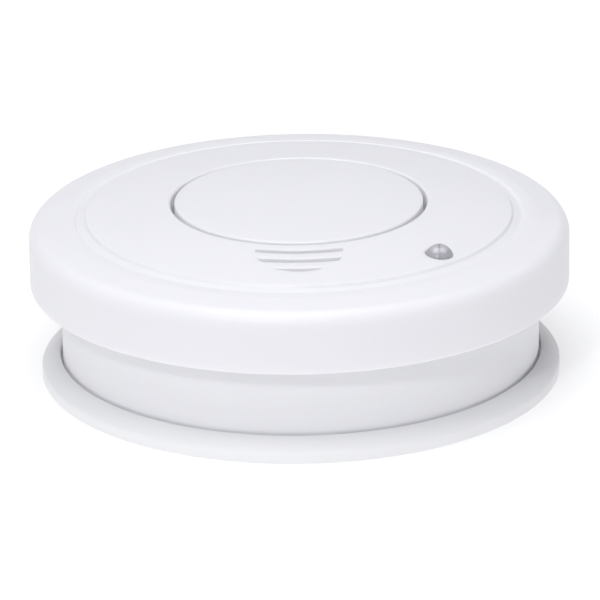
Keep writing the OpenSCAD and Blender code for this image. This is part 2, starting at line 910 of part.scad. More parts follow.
module battery_lead_red() { battery_lead("#b3261e", lead_z[0], 0.6); }
module battery_lead_black() { battery_lead("#18181a", lead_z[1], 2.6); }

// ---- Lockout lever --------------------------------------------------------------------

// The lever lies in the bay's roof while a battery holds it there, and its spring swings it
// out past the floor when the bay is empty, so that the head can't go onto the plate.
module lockout_lever() {
    color("#c62f26")
    translate([lever_x, bay_mid_y, 0])
    difference() {
        union() {
            translate([-2, -lever_w / 2, bay_roof]) cube([lever_l, lever_w, bay_wall]);
            translate([-2, -lever_w / 2, bay_roof]) cube([4, lever_w, pin_z - bay_roof]);
            translate([0, 0, pin_z]) rotate([90, 0, 0]) cylinder(r = 2, h = lever_w,
                center = true);
        }
        translate([0, 0, pin_z]) rotate([90, 0, 0]) cylinder(r = pin_r + slide_fit,
            h = lever_w + 2, center = true);
        box(6, 3, bay_top, pin_z + 3);
    }
}

module lockout_pin() {
    l = lever_w + 2 * lever_gap + 2 * pivot_w;
    color("silver")
    translate([lever_x, bay_mid_y, pin_z])
    rotate([90, 0, 0])
    cylinder(r = pin_r, h = l, center = true);
}

module lockout_spring() {
    color("silver")
    translate([lever_x, bay_mid_y, pin_z])
    rotate([90, 0, 0])
    coil(lever_wire, lever_coil_r, -1.2, 1.2, 4);
}

// ---- Choice of node -------------------------------------------------------------------

mounting_plate();
back_housing();
front_cover();
test_button();
button_spring();
indicator_lens();
housing_screws();
board_screws();
rating_label();
circuit_board();
board_light();
test_switch_body();
test_switch_plunger();
control_chip();
chip_legs();
capacitors();
drive_coil();
drive_coil_legs();
surface_resistors();
surface_capacitors();
transistors();
chamber_base();
chamber_cap();
insect_screen();
infrared_emitter();
emitter_legs();
photodiode();
photodiode_legs();
sounder_base();
sounder_disc();
sounder_ceramic();
sounder_contacts();
sounder_horn();
battery();
battery_cells();
battery_end_plate();
battery_positive_stud();
battery_negative_socket();
contact_block();
snap_socket();
snap_stud();
battery_lead_red();
battery_lead_black();
lockout_lever();
lockout_pin();
lockout_spring();
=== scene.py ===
import math

import bpy
import numpy as np
from mathutils import Matrix, Vector


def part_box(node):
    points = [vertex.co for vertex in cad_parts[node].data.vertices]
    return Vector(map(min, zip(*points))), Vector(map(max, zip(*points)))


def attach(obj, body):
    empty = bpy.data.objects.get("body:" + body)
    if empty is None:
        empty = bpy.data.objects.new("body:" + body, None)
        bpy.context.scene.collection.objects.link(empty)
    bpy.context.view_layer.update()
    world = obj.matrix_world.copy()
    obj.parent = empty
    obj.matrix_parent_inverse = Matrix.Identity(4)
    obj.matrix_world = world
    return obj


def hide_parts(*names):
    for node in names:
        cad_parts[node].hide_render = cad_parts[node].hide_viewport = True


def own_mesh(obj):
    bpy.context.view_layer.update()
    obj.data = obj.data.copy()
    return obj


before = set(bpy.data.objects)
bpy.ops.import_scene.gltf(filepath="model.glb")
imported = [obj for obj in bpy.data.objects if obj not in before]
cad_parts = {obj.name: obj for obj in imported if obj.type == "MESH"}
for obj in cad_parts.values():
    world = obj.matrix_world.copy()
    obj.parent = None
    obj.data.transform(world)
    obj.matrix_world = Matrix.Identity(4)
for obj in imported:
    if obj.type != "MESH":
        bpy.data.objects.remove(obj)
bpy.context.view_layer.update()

# A ceiling smoke alarm, lying on its plate with the cover up. Lengths in this script are
# millimetres, and a mesh is scaled to metres when it is written.
MM = 0.001

# ---- Camera -----------------------------------------------------------------------------
# A long lens from a metre away, a little above the alarm, on the side of the sound slots.

camera_distance = 1000
camera_elevation = math.radians(20.69)
camera_roll = math.radians(-0.85)
camera_target = Vector((0, 0, 16))

camera_data = bpy.data.cameras.new("camera")
camera_data.lens = 301.6
camera_data.sensor_width = 36
camera_data.shift_y = -0.0168
camera_data.clip_end = 100
camera = bpy.data.objects.new("camera", camera_data)
bpy.context.scene.collection.objects.link(camera)
bpy.context.scene.camera = camera
backward = Vector((0, -math.cos(camera_elevation), math.sin(camera_elevation)))
camera_turn = backward.to_track_quat("Z", "Y").to_matrix().to_4x4()
camera_place = Matrix.Translation((camera_target + backward * camera_distance) * MM)
camera.matrix_world = camera_place @ camera_turn @ Matrix.Rotation(camera_roll, 4, "Z")

# ---- Studio -----------------------------------------------------------------------------
# A white tent: pale floor, dim white walls, a large soft lamp overhead, and a small one high
# at the front left, which throws the cover's shadow on the housing. Its lengths are metres.

scene = bpy.context.scene
scene.view_settings.view_transform = "Standard"
scene.view_settings.gamma = 1.5


def wire(tree, kind, values=(), links=(), **settings):
    """Adds a node to a tree, with settings, socket values and links into its inputs."""
    node = tree.nodes.new("ShaderNode" + kind)
    for key, value in settings.items():
        setattr(node, key, value)
    for socket, value in dict(values).items():
        node.inputs[socket].default_value = value
    for socket, source in dict(links).items():
        tree.links.new(source, node.inputs[socket])
    return node


# The tent is brighter overhead and at the front, and a little darker on the right. Seen
# straight from the camera, it is white.
tent_white = (0.935, 0.95, 1.0, 1)
tent_base, tent_slope = 0.12, (-0.04, -0.05, 0.1)
world = bpy.data.worlds.new("tent")
world.use_nodes = True
scene.world = world
tent = world.node_tree
towards = wire(tent, "VectorMath", {1: tent_slope},
               {0: wire(tent, "TexCoord").outputs["Generated"]}, operation="DOT_PRODUCT")
tent_strength = wire(tent, "Math", {1: tent_base}, {0: towards.outputs["Value"]})
tent_light = tent.nodes["Background"]
tent_light.inputs["Color"].default_value = tent_white
tent.links.new(tent_strength.outputs[0], tent_light.inputs["Strength"])
tent_seen = wire(tent, "Background", {"Color": (1, 1, 1, 1)})
tent_mix = wire(tent, "MixShader", {},
                {0: wire(tent, "LightPath").outputs["Is Camera Ray"],
                 1: tent_light.outputs["Background"], 2: tent_seen.outputs["Background"]})
tent.links.new(tent_mix.outputs["Shader"], tent.nodes["World Output"].inputs["Surface"])

floor_half = 4.0
floor_mesh = bpy.data.meshes.new("floor")
floor_mesh.from_pydata([(x * floor_half, y * floor_half, 0) for x, y in
                        ((-1, -1), (1, -1), (1, 1), (-1, 1))], [], [(0, 1, 2, 3)])
floor = bpy.data.objects.new("floor", floor_mesh)
scene.collection.objects.link(floor)
floor_paper = bpy.data.materials.new("floor_paper")
floor_paper.use_nodes = True
paper_tree = floor_paper.node_tree
paper = paper_tree.nodes["Principled BSDF"]
paper.inputs["Base Color"].default_value = (0.75, 0.75, 0.75, 1)
paper.inputs["Roughness"].default_value = 0.9
paper.inputs["Emission Color"].default_value = (1, 1, 1, 1)
# The floor glows more with its distance from the alarm, so that it fades into the tent.
floor_distance = wire(paper_tree, "VectorMath", {},
                      {0: wire(paper_tree, "TexCoord").outputs["Object"]}, operation="LENGTH")
floor_glow = wire(paper_tree, "MapRange",
                  {"From Min": 0.1, "From Max": 1.3, "To Min": 0.35, "To Max": 0.95},
                  {"Value": floor_distance.outputs["Value"]})
paper_tree.links.new(floor_glow.outputs["Result"], paper.inputs["Emission Strength"])
floor_mesh.materials.append(floor_paper)


def soft_lamp(name, size, watts, azimuth, elevation, distance=0.9):
    """A round area lamp at a distance from the alarm, aimed at it. Its angles are degrees,
    and azimuth 0 is the front."""
    data = bpy.data.lights.new(name, "AREA")
    data.shape, data.size, data.energy = "DISK", size, watts
    data.color = (0.97, 0.975, 1.0)
    lamp = bpy.data.objects.new(name, data)
    scene.collection.objects.link(lamp)
    a, e = math.radians(azimuth), math.radians(elevation)
    out = Vector((math.cos(e) * math.sin(a), -math.cos(e) * math.cos(a), math.sin(e)))
    lamp.matrix_world = (Matrix.Translation(out * distance)
                         @ out.to_track_quat("Z", "Y").to_matrix().to_4x4())


soft_lamp("front", 0.1, 1.65, -16, 37)
soft_lamp("top", 0.8, 7.2, -20, 82)

# ---- Front cover ------------------------------------------------------------------------
# Injection-moulded white ABS: a shallow dome with a deep skirt, a ring groove, a well for
# the button, three sound slots and a hole for the indicator. Posts, a locating rib and a
# sound duct stand under it, and four screws pull it onto the housing.

cover_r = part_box("front_cover")[1].x / MM
top_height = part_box("test_button")[1].z / MM
cover_t = 2.2
dome_r = 267
rim_round = 3
skirt_z = 19
groove_r = cover_r - 11.4
groove_w = 2
groove_depth = 0.6
groove_bevel = 0.3
lip_drop = 0.3
lip_w = 2
hole_r = 25.4
deck_top = top_height - 6
deck_z = deck_top - 1.4
bore_r = 2.65
guide_r = bore_r + 1.4
guide_z = deck_z - 2
well_out_r = hole_r + 1.5
rib_out_r = 45.7
rib_t = 1.2
rib_h = 2.2
under_r = dome_r - cover_t
dome_cz = top_height - dome_r
edge_r = cover_r - rim_round
edge_cz = dome_cz + math.sqrt((dome_r - rim_round) ** 2 - edge_r ** 2)
edge_angle = math.acos(edge_r / (dome_r - rim_round))


def sphere_z(rad, r):
    """Height at radius r of the sphere of radius rad about the dome's centre."""
    return dome_cz + np.sqrt(rad * rad - np.square(r))


def dome_run(rad, r0, r1, steps):
    """Outline points along that sphere from radius r0 to r1."""
    r = np.linspace(r0, r1, steps + 1)
    return np.stack([r, sphere_z(rad, r)], 1).tolist()


def arc(x, z, rad, a0, a1, steps):
    """Outline points (x + rad cos a, z + rad sin a), a from a0 to a1 radians."""
    a = np.linspace(a0, a1, steps + 1)
    return np.stack([x + rad * np.cos(a), z + rad * np.sin(a)], 1).tolist()


def rounded(corners, steps=5):
    """A closed outline through (x, y) or (x, y, radius) corners. A corner with a radius
    becomes an arc tangent to its two sides, in equal turns from its start to its end."""
    corner = np.array([(list(c) + [0])[:3] for c in corners], float)
    outline = []
    for here, before, after in zip(corner, np.roll(corner, 1, 0), np.roll(corner, -1, 0)):
        if here[2] == 0:
            outline.append(here[None, :2])
            continue
        back, ahead = before[:2] - here[:2], after[:2] - here[:2]
        back_len, ahead_len = np.hypot(*back), np.hypot(*ahead)
        back, ahead = back / back_len, ahead / ahead_len
        half = math.acos(np.clip(back @ ahead, -1, 1)) / 2
        reach = min(here[2] / math.tan(half), 0.49 * back_len, 0.49 * ahead_len)
        middle = here[:2] + (back + ahead) / np.hypot(*(back + ahead)) * reach / math.cos(half)
        first, last = here[:2] + back * reach - middle, here[:2] + ahead * reach - middle
        turn, k = math.pi - 2 * half, np.linspace(0, 1, steps + 1)[:, None]
        outline.append(middle + (np.sin((1 - k) * turn) * first + np.sin(k * turn) * last)
                       / math.sin(turn))
    return np.concatenate(outline)


def write_mesh(name, points, faces):
    """Links a new smooth-shaded object with these points, in millimetres, and these faces."""
    mesh = bpy.data.meshes.new(name)
    mesh.from_pydata(np.asarray(points) * MM, [], faces)
    mesh.shade_smooth()
    piece = bpy.data.objects.new(name, mesh)
    scene.collection.objects.link(piece)
    return piece


def lathe(name, outline, turns=288, centre=(0, 0)):
    """A closed outline of (radius, height) points turned about a vertical axis: the point
    (r, z) at angle t becomes (r cos t, r sin t, z). Points on the axis become one pole."""
    r, z = np.asarray(outline, float).T
    if (r * np.roll(z, -1) - np.roll(r, -1) * z).sum() < 0:
        r, z = r[::-1], z[::-1]
    angle = np.linspace(0, 2 * math.pi, turns, endpoint=False)
    grid = np.stack([np.outer(r, np.cos(angle)) + centre[0],
                     np.outer(r, np.sin(angle)) + centre[1],
                     np.repeat(z[:, None], turns, 1)], -1)
    index = np.arange(len(r) * turns).reshape(len(r), turns)
    pole = r < 1e-9
    index[pole] = index[pole, :1]
    used, place = np.unique(index, return_inverse=True)
    index = place.reshape(index.shape)
    low, high = index, np.roll(index, -1, 0)
    quad = np.stack([low, np.roll(low, -1, 1), np.roll(high, -1, 1), high], -1)
    next_pole = np.roll(pole, -1)
    faces = (quad[~next_pole & ~pole].reshape(-1, 4).tolist()
             + quad[next_pole & ~pole][..., :3].reshape(-1, 3).tolist()
             + quad[pole & ~next_pole][..., [0, 2, 3]].reshape(-1, 3).tolist())
    return write_mesh(name, grid.reshape(-1, 3)[used], faces)


def loft(name, rings):
    """A closed solid through a stack of rings, an array (levels, points, 3) with each ring
    anticlockwise seen from above and the levels rising. Its two ends are flat fans."""
    levels, count, _ = rings.shape
    index = np.arange(levels * count).reshape(levels, count)
    ahead = np.roll(index, -1, 1)
    sides = np.stack([index[:-1], ahead[:-1], ahead[1:], index[1:]], -1).reshape(-1, 4)
    ends = np.stack([rings[0].mean(0), rings[-1].mean(0)])
    low = np.stack([ahead[0], index[0], np.full(count, levels * count)], -1)
    high = np.stack([index[-1], ahead[-1], np.full(count, levels * count + 1)], -1)
    return write_mesh(name, np.concatenate([rings.reshape(-1, 3), ends]),
                      sides.tolist() + low.tolist() + high.tolist())


def block(name, low, high, turn=0):
    """A plain box between two corners, turned about the vertical axis by degrees: a tool."""
    (x0, y0, z0), (x1, y1, z1) = low, high
    ring = np.array([(x0, y0), (x1, y0), (x1, y1), (x0, y1)], float)
    t = math.radians(turn)
    ring = ring @ np.array([(math.cos(t), math.sin(t)), (-math.sin(t), math.cos(t))])
    return loft(name, np.stack([np.c_[ring, np.full(4, z)] for z in (z0, z1)]))


def carve(piece, tools, operation="DIFFERENCE"):
    """Cuts the tools from the piece, or joins them to it, and removes them."""
    for tool in tools:
        cut = piece.modifiers.new("cut", "BOOLEAN")
        cut.operation, cut.object, cut.solver = operation, tool, "MANIFOLD"
        bpy.context.view_layer.update()
        depsgraph = bpy.context.evaluated_depsgraph_get()
        mesh = bpy.data.meshes.new_from_object(piece.evaluated_get(depsgraph))
        piece.modifiers.clear()
        piece.data = mesh
        bpy.data.objects.remove(tool)
    return piece


def crisp(piece, degrees=32):
    """Splits the shading at sharp edges and lets large faces rule it elsewhere."""
    piece.data.set_sharp_from_angle(angle=math.radians(degrees))
    weighted = piece.modifiers.new("shading", "WEIGHTED_NORMAL")
    weighted.keep_sharp = True
    return piece


def top_z(r):
    """Height of the dome's outer face at radius r."""
    return float(sphere_z(dome_r, r))


def under_z(r):
    """Height of the dome's inner face at radius r."""
    return float(sphere_z(under_r, r))


lip_r = groove_r + groove_w + groove_bevel
skirt_in_r = cover_r - cover_t
cover_outline = rounded(
    [(skirt_in_r, skirt_z, 0.25), (cover_r, skirt_z, 0.4)]
    + arc(edge_r, edge_cz, rim_round, 0, edge_angle, 14)
    + dome_run(dome_r, edge_r, lip_r + lip_w, 8)[1:]
    + [(lip_r, top_z(lip_r) - lip_drop, 0.3),
       (groove_r + groove_w, top_z(groove_r + groove_w) - groove_depth - lip_drop, 0.2),
       (groove_r + groove_bevel, top_z(groove_r) - groove_depth, 0.2),
       (groove_r, top_z(groove_r), 0.25)]
    + dome_run(dome_r, groove_r, hole_r, 16)[1:-1]
    + [(hole_r, top_z(hole_r), 0.5), (hole_r, deck_top, 0.5), (bore_r, deck_top, 0.2),
       (bore_r, guide_z, 0.2), (guide_r, guide_z, 0.2), (guide_r, deck_z, 0.4),
       (well_out_r, deck_z, 0.4)]
    + dome_run(under_r, well_out_r, rib_out_r - rib_t, 10)
    + [(rib_out_r - rib_t, under_z(rib_out_r) - rib_h, 0.2),
       (rib_out_r, under_z(rib_out_r) - rib_h, 0.2)]
    + dome_run(under_r, rib_out_r, edge_r, 3)
    + arc(edge_r, edge_cz, rim_round - cover_t, edge_angle, 0, 4)[1:])
cover = lathe("front_cover_shell", cover_outline)

post_angles = (20, 160, 240, 300)
post_circle_r = 40.5
post_foot = 12.5
post_r, post_bore_r = 3.4, 1.5
post_outline = rounded([(post_bore_r, post_foot, 0.3), (post_r, post_foot, 0.4),
                        (post_r, top_height), (post_bore_r, top_height)])
tool_r, tool_top = 60, 50


def above_wall():
    """A tool that trims what stands under the dome at the middle of the dome's wall."""
    return lathe("above_wall", dome_run(dome_r - cover_t / 2, 0, tool_r, 24)
                 + [(tool_r, tool_top), (0, tool_top)], 96)


for a in np.radians(post_angles):
    post = lathe("post", post_outline, 48, (post_circle_r * math.cos(a),
                                            post_circle_r * math.sin(a)))
    carve(cover, [carve(post, [above_wall()])], "UNION")

sounder_at = (0, -28.2)
duct_in_r, duct_out_r = 9, 10.2
duct_foot, duct_top = 25, 34
duct = lathe("duct", rounded([(duct_in_r, duct_foot, 0.3), (duct_out_r, duct_foot, 0.3),
                              (duct_out_r, duct_top), (duct_in_r, duct_top)]), 96, sounder_at)
# The well's wall and floor are cut into by half their thickness.
into_wall = 0.7
in_well = lathe("in_well", [(0, deck_z + into_wall), (hole_r + into_wall, deck_z + into_wall),
                            (hole_r + into_wall, tool_top), (0, tool_top)], 288)
carve(duct, [above_wall(), in_well])
carve(cover, [duct], "UNION")

slot_count = 3
slot_first_r = 28.6
slot_pitch = 3.75
slot_w = 1.4
slot_field_r = 8.45
slot_depth = 4.5
# A cut's rounded edge: how far each level of its tool is grown, and its height over the dome.
edge_flare = ((0, -0.22), (0.02, -0.13), (0.07, -0.06), (0.17, 0), (0.6, 0.2))


def slot_tool(name, inner, outer):
    """A loft that cuts one sound slot: between two radii, inside the sound field's circle.
    Each level is the slot grown by its flare and held at its own height over the dome. At
    polar angle t the circle's far side lies at c cos t + sqrt(R^2 - c^2 sin^2 t)."""
    rings = []
    for grow, height in ((0, -slot_depth), *edge_flare):
        near, far, field = inner - grow, outer + grow, slot_field_r + grow
        c = -sounder_at[1]
        end = math.acos((near ** 2 + c ** 2 - field ** 2) / (2 * near * c))
        t = end * np.sin(np.linspace(-math.pi / 2, math.pi / 2, 61))
        reach = c * np.cos(t) + np.sqrt(np.maximum(field ** 2 - (c * np.sin(t)) ** 2, 0))
        r = np.concatenate([np.minimum(far, reach), np.full(59, near)])
        t = np.concatenate([t, t[-2:0:-1]]) - math.pi / 2
        rings.append(np.stack([r * np.cos(t), r * np.sin(t), sphere_z(dome_r, r) + height],
                              -1))
    return loft(name, np.array(rings))


for i in range(slot_count):
    middle = slot_first_r + slot_pitch * i
    carve(cover, [slot_tool("slot", middle - slot_w / 2, middle + slot_w / 2)])

lens_at = (26.9, -27.2)
lens_r = 2.65
lens_fit = 0.05
collar_r = lens_r + 1.6
collar_h = 4
collar_z = under_z(math.hypot(*lens_at)) - 3


def round_tool(name, centre, radius, depth):
    """A loft that cuts a round hole down through the dome to a depth, with a rounded edge."""
    t = np.linspace(0, 2 * math.pi, 64, endpoint=False)
    rings = []
    for grow, height in ((0, -depth), *edge_flare):
        x = centre[0] + (radius + grow) * np.cos(t)
        y = centre[1] + (radius + grow) * np.sin(t)
        rings.append(np.stack([x, y, sphere_z(dome_r, np.hypot(x, y)) + height], -1))
    return loft(name, np.array(rings))


carve(cover, [lathe("collar", rounded([(0, collar_z), (collar_r, collar_z, 0.3),
                                       (collar_r, collar_z + collar_h),
                                       (0, collar_z + collar_h)]), 64, lens_at)], "UNION")
carve(cover, [round_tool("lens_hole", lens_at, lens_r + lens_fit, 2 * collar_h)])

hook_angles = (90, 210, 330)
hook_r = 18
hook_half_w, hook_half_t = 2, 0.8
barb_reach = 1.7
hook_slot_half_w = 2.3
hook_slot_in, hook_slot_out = 1, 1.4
carve(cover, [block("hook_slot", (hook_r - hook_slot_in, -hook_slot_half_w, deck_z - 1),
                    (hook_r + hook_slot_out, hook_slot_half_w, deck_top + 1), a)
              for a in hook_angles])
crisp(cover)
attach(cover, "head")
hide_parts("front_cover")


def node_group(name, inputs, outputs):
    """An empty shader node group. Inputs are (name, type, default); outputs (name, type)."""
    group = bpy.data.node_groups.new(name, "ShaderNodeTree")
    for title, kind, value in inputs:
        socket = group.interface.new_socket(title, in_out="INPUT", socket_type="NodeSocket" + kind)
        socket.default_value = value
    for title, kind in outputs:
        group.interface.new_socket(title, in_out="OUTPUT", socket_type="NodeSocket" + kind)
    return group, group.nodes.new("NodeGroupInput"), group.nodes.new("NodeGroupOutput")


# The moulded skin: broad flow marks that shift the tone, and a fine etched grain that sets
# the roughness and the height. Sizes are in millimetres.
moulded_skin, skin_in, skin_out = node_group(
    "moulded_skin",
    [("Colour", "Color", (0.8, 0.8, 0.8, 1)), ("Flow colour", "Color", (0.75, 0.75, 0.75, 1)),
     ("Flow size", "Float", 30.0), ("Grain size", "Float", 0.5), ("Roughness", "Float", 0.4),
     ("Roughness spread", "Float", 0.08)],
    [("Colour", "Color"), ("Roughness", "Float"), ("Height", "Float")])
skin_place = wire(moulded_skin, "TexCoord").outputs["Object"]
flow_scale = wire(moulded_skin, "Math", {0: 1 / MM}, {1: skin_in.outputs["Flow size"]},
                  operation="DIVIDE")
grain_scale = wire(moulded_skin, "Math", {0: 1 / MM}, {1: skin_in.outputs["Grain size"]},
                   operation="DIVIDE")
flow = wire(moulded_skin, "TexNoise", {"Detail": 2.0, "Roughness": 0.45, "Distortion": 0.6},
            {"Vector": skin_place, "Scale": flow_scale.outputs[0]})
grain = wire(moulded_skin, "TexNoise", {"Detail": 3.0, "Roughness": 0.6},
             {"Vector": skin_place, "Scale": grain_scale.outputs[0]})
tone = wire(moulded_skin, "Mix", {}, {0: flow.outputs["Fac"], 6: skin_in.outputs["Colour"],
                                      7: skin_in.outputs["Flow colour"]}, data_type="RGBA")
worn = wire(moulded_skin, "Math", {1: 0.5}, {0: grain.outputs["Fac"]}, operation="SUBTRACT")
uneven = wire(moulded_skin, "Math", {}, {0: worn.outputs[0],
                                         1: skin_in.outputs["Roughness spread"],
                                         2: skin_in.outputs["Roughness"]},
              operation="MULTIPLY_ADD")
moulded_skin.links.new(tone.outputs[2], skin_out.inputs["Colour"])
moulded_skin.links.new(uneven.outputs[0], skin_out.inputs["Roughness"])
moulded_skin.links.new(grain.outputs["Fac"], skin_out.inputs["Height"])


def skinned(name, group, values, bump=0.3, depth=0.02, **constants):
    """A material whose group of that name feeds colour, roughness and, by a bump of that
    depth in millimetres, the normal. Constants are set on the shader's own sockets."""
    material = bpy.data.materials.new(name)
    material.use_nodes = True
    tree = material.node_tree
    shader = tree.nodes["Principled BSDF"]
    skin = tree.nodes.new("ShaderNodeGroup")
    skin.node_tree = group
    for socket, value in values.items():
        skin.inputs[socket].default_value = value
    for socket in ("Colour", "Roughness", "Metallic"):
        if socket in skin.outputs:
            tree.links.new(skin.outputs[socket],
                           shader.inputs["Base Color" if socket == "Colour" else socket])
    raised = wire(tree, "Bump", {"Strength": bump, "Distance": depth * MM},
                  {"Height": skin.outputs["Height"]})
    tree.links.new(raised.outputs["Normal"], shader.inputs["Normal"])
    for socket, value in constants.items():
        shader.inputs[socket.replace("_", " ")].default_value = value
    return material


def moulded(name, colour, flow, grain=0.45, roughness=0.42, spread=0.1, depth=0.02, bump=0.3,
            **constants):
    """A moulded plastic: its colour, its flow-mark colour, and its grain in millimetres."""
    return skinned(name, moulded_skin,
                   {"Colour": (*colour, 1), "Flow colour": (*flow, 1), "Grain size": grain,
                    "Roughness": roughness, "Roughness spread": spread}, bump, depth,
                   **constants)


def coat(piece, material):
    """Gives a new piece its one material."""
    piece.data.materials.clear()
    piece.data.materials.append(material)
    return piece


# White walls let a little light through.
thin_wall = {"Subsurface_Weight": 0.6, "Subsurface_Scale": 2.5 * MM,
             "Subsurface_Radius": (1.0, 0.95, 0.9)}
cover_white = moulded("cover_white", (0.8, 0.798, 0.84), (0.785, 0.783, 0.825), **thin_wall)
coat(cover, cover_white)

# ---- Test button ------------------------------------------------------------------------
# A wide white ABS cap that continues the dome. Its stem runs in the well's bore down to the
# switch, and three snap hooks under it catch below the well's floor.

button_r = hole_r - 0.8
button_t = 1.6
button_foot = deck_top + 1.6
stem_r = 2.6
stem_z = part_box("test_button")[0].z / MM
button_under_r = dome_r - button_t
button_outline = rounded(
    [(0, stem_z), (stem_r, stem_z, 0.4), (stem_r, float(sphere_z(button_under_r, stem_r)), 0.5)]
    + dome_run(button_under_r, stem_r + 1, button_r - button_t, 8)
    + [(button_r - button_t, button_foot, 0.3), (button_r, button_foot, 0.3),
       (button_r, top_z(button_r), 0.6)]
    + dome_run(dome_r, button_r - 0.8, 0, 24))
button = lathe("test_button_cap", button_outline)
barb_top = deck_z - 0.1
barb_h = 1.5
# A barb's sides lie a little inside its hook's, so that no two faces fall together.
barb_inset = 0.05
hooks = []
for a in hook_angles:
    hooks.append(block("hook", (hook_r - hook_half_t, -hook_half_w, barb_top - barb_h - 0.1),
                       (hook_r + hook_half_t, hook_half_w,
                        top_z(hook_r + hook_half_w) - button_t / 2), a))
    hooks.append(block("barb", (hook_r - hook_half_t + 0.2, barb_inset - hook_half_w,
                                barb_top - barb_h),
                       (hook_r + barb_reach, hook_half_w - barb_inset, barb_top), a))
carve(button, hooks, "UNION")
crisp(button)
coat(button, moulded("button_white", (0.8, 0.798, 0.84), (0.788, 0.786, 0.828), grain=0.4,
                     **thin_wall))
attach(button, "button")
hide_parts("test_button")

# ---- Button spring ----------------------------------------------------------------------
# A small compression spring of round spring steel about the stem. It stands on the well's
# floor and pushes the cap up.

spring_r = stem_r + 2.4
spring_wire = 0.5
spring_turns = 4
spring_seat = top_height - button_t - 0.1


def tube(name, path, radius, sides=12):
    """A closed round wire along a path: at each point a circle of the radius stands across
    the path's direction, in a frame that leans as little as it can from the vertical."""
    path = np.asarray(path, float)
    along = np.gradient(path, axis=0)
    along /= np.linalg.norm(along, axis=1)[:, None]
    lean = np.array((0, 0, 1.0)) if abs(along[:, 2]).max() < 0.9 else np.array((0, 1.0, 0))
    side = np.cross(along, lean)
    side /= np.linalg.norm(side, axis=1)[:, None]
    up = np.cross(side, along)
    b = np.linspace(0, 2 * math.pi, sides, endpoint=False)
    rings = (path[:, None] + radius * (np.cos(b)[:, None] * side[:, None]
                                       + np.sin(b)[:, None] * up[:, None]))
    return loft(name, rings)


def helix(radius, z0, z1, turns, centre=(0, 0), steps=40):
    """A coil's middle line. Its height rises as t - sin(2 pi t) / (2 pi) over its length, so
    that its two ends lie flat."""
    t = np.linspace(0, 1, int(turns * steps) + 1)
    a = 2 * math.pi * turns * t
    rise = t - np.sin(2 * math.pi * t) / (2 * math.pi)
    return np.stack([centre[0] + radius * np.cos(a), centre[1] + radius * np.sin(a),
                     z0 + (z1 - z0) * rise], 1)


spring = tube("button_spring_coil",
              helix(spring_r, deck_top + spring_wire / 2, spring_seat - spring_wire / 2,
                    spring_turns), spring_wire / 2)
crisp(spring, 50)

# Drawn or plated metal: fine lines or mottling in the roughness, and a faint dulling.
metal_skin, metal_in, metal_out = node_group(
    "metal_skin",
    [("Colour", "Color", (0.6, 0.6, 0.6, 1)), ("Dull colour", "Color", (0.5, 0.5, 0.5, 1)),
     ("Mottle size", "Float", 1.5), ("Roughness", "Float", 0.25),
     ("Roughness spread", "Float", 0.2)],
    [("Colour", "Color"), ("Roughness", "Float"), ("Height", "Float")])
metal_place = wire(metal_skin, "TexCoord").outputs["Object"]
mottle_scale = wire(metal_skin, "Math", {0: 1 / MM}, {1: metal_in.outputs["Mottle size"]},
                    operation="DIVIDE")
mottle = wire(metal_skin, "TexNoise", {"Detail": 4.0, "Roughness": 0.7},
              {"Vector": metal_place, "Scale": mottle_scale.outputs[0]})
metal_tone = wire(metal_skin, "Mix", {}, {0: mottle.outputs["Fac"],
                                          6: metal_in.outputs["Colour"],
                                          7: metal_in.outputs["Dull colour"]},
                  data_type="RGBA")
metal_shift = wire(metal_skin, "Math", {1: 0.5}, {0: mottle.outputs["Fac"]},
                   operation="SUBTRACT")
metal_rough = wire(metal_skin, "Math", {}, {0: metal_shift.outputs[0],
                                            1: metal_in.outputs["Roughness spread"],
                                            2: metal_in.outputs["Roughness"]},
                   operation="MULTIPLY_ADD")
metal_skin.links.new(metal_tone.outputs[2], metal_out.inputs["Colour"])
metal_skin.links.new(metal_rough.outputs[0], metal_out.inputs["Roughness"])
metal_skin.links.new(mottle.outputs["Fac"], metal_out.inputs["Height"])


def metal(name, colour, dull, mottle_size=1.5, roughness=0.25, spread=0.2, depth=0.004):
    """A bare or plated metal: its colour, its dulled colour, and its mottling."""
    return skinned(name, metal_skin,
                   {"Colour": (*colour, 1), "Dull colour": (*dull, 1),
                    "Mottle size": mottle_size, "Roughness": roughness,
                    "Roughness spread": spread}, 0.3, depth, Metallic=1.0)


spring_steel = metal("spring_steel", (0.62, 0.62, 0.63), (0.5, 0.5, 0.51), 0.8)
coat(spring, spring_steel)
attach(spring, "head")
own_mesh(spring)
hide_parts("button_spring")

# ---- Indicator lens ---------------------------------------------------------------------
# A clear acrylic light pipe, pushed in from behind: a domed head in the cover's hole, a
# flange that stops against the collar, and a rod down to the light on the board.

rod_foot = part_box("indicator_lens")[0].z / MM
flange_t = 0.8
flange_r = lens_r + 1.2
lens_rise = 1.9
lens_seat = top_z(math.hypot(*lens_at)) - 0.15
lens_cap_r = (lens_r ** 2 + lens_rise ** 2) / (2 * lens_rise)
lens_cap_angle = math.asin(lens_r / lens_cap_r)
rod_r = 1.6
lens_outline = rounded(
    [(0, rod_foot), (rod_r, rod_foot, 0.2), (rod_r, collar_z - flange_t, 0.3),
     (flange_r, collar_z - flange_t, 0.2), (flange_r, collar_z, 0.2), (lens_r, collar_z, 0.1)]
    + arc(0, lens_seat + lens_rise - lens_cap_r, lens_cap_r, math.pi / 2 - lens_cap_angle,
          math.pi / 2, 16)[:-1] + [(0, lens_seat + lens_rise)])
lens = lathe("indicator_light_pipe", lens_outline, 96, lens_at)
crisp(lens)

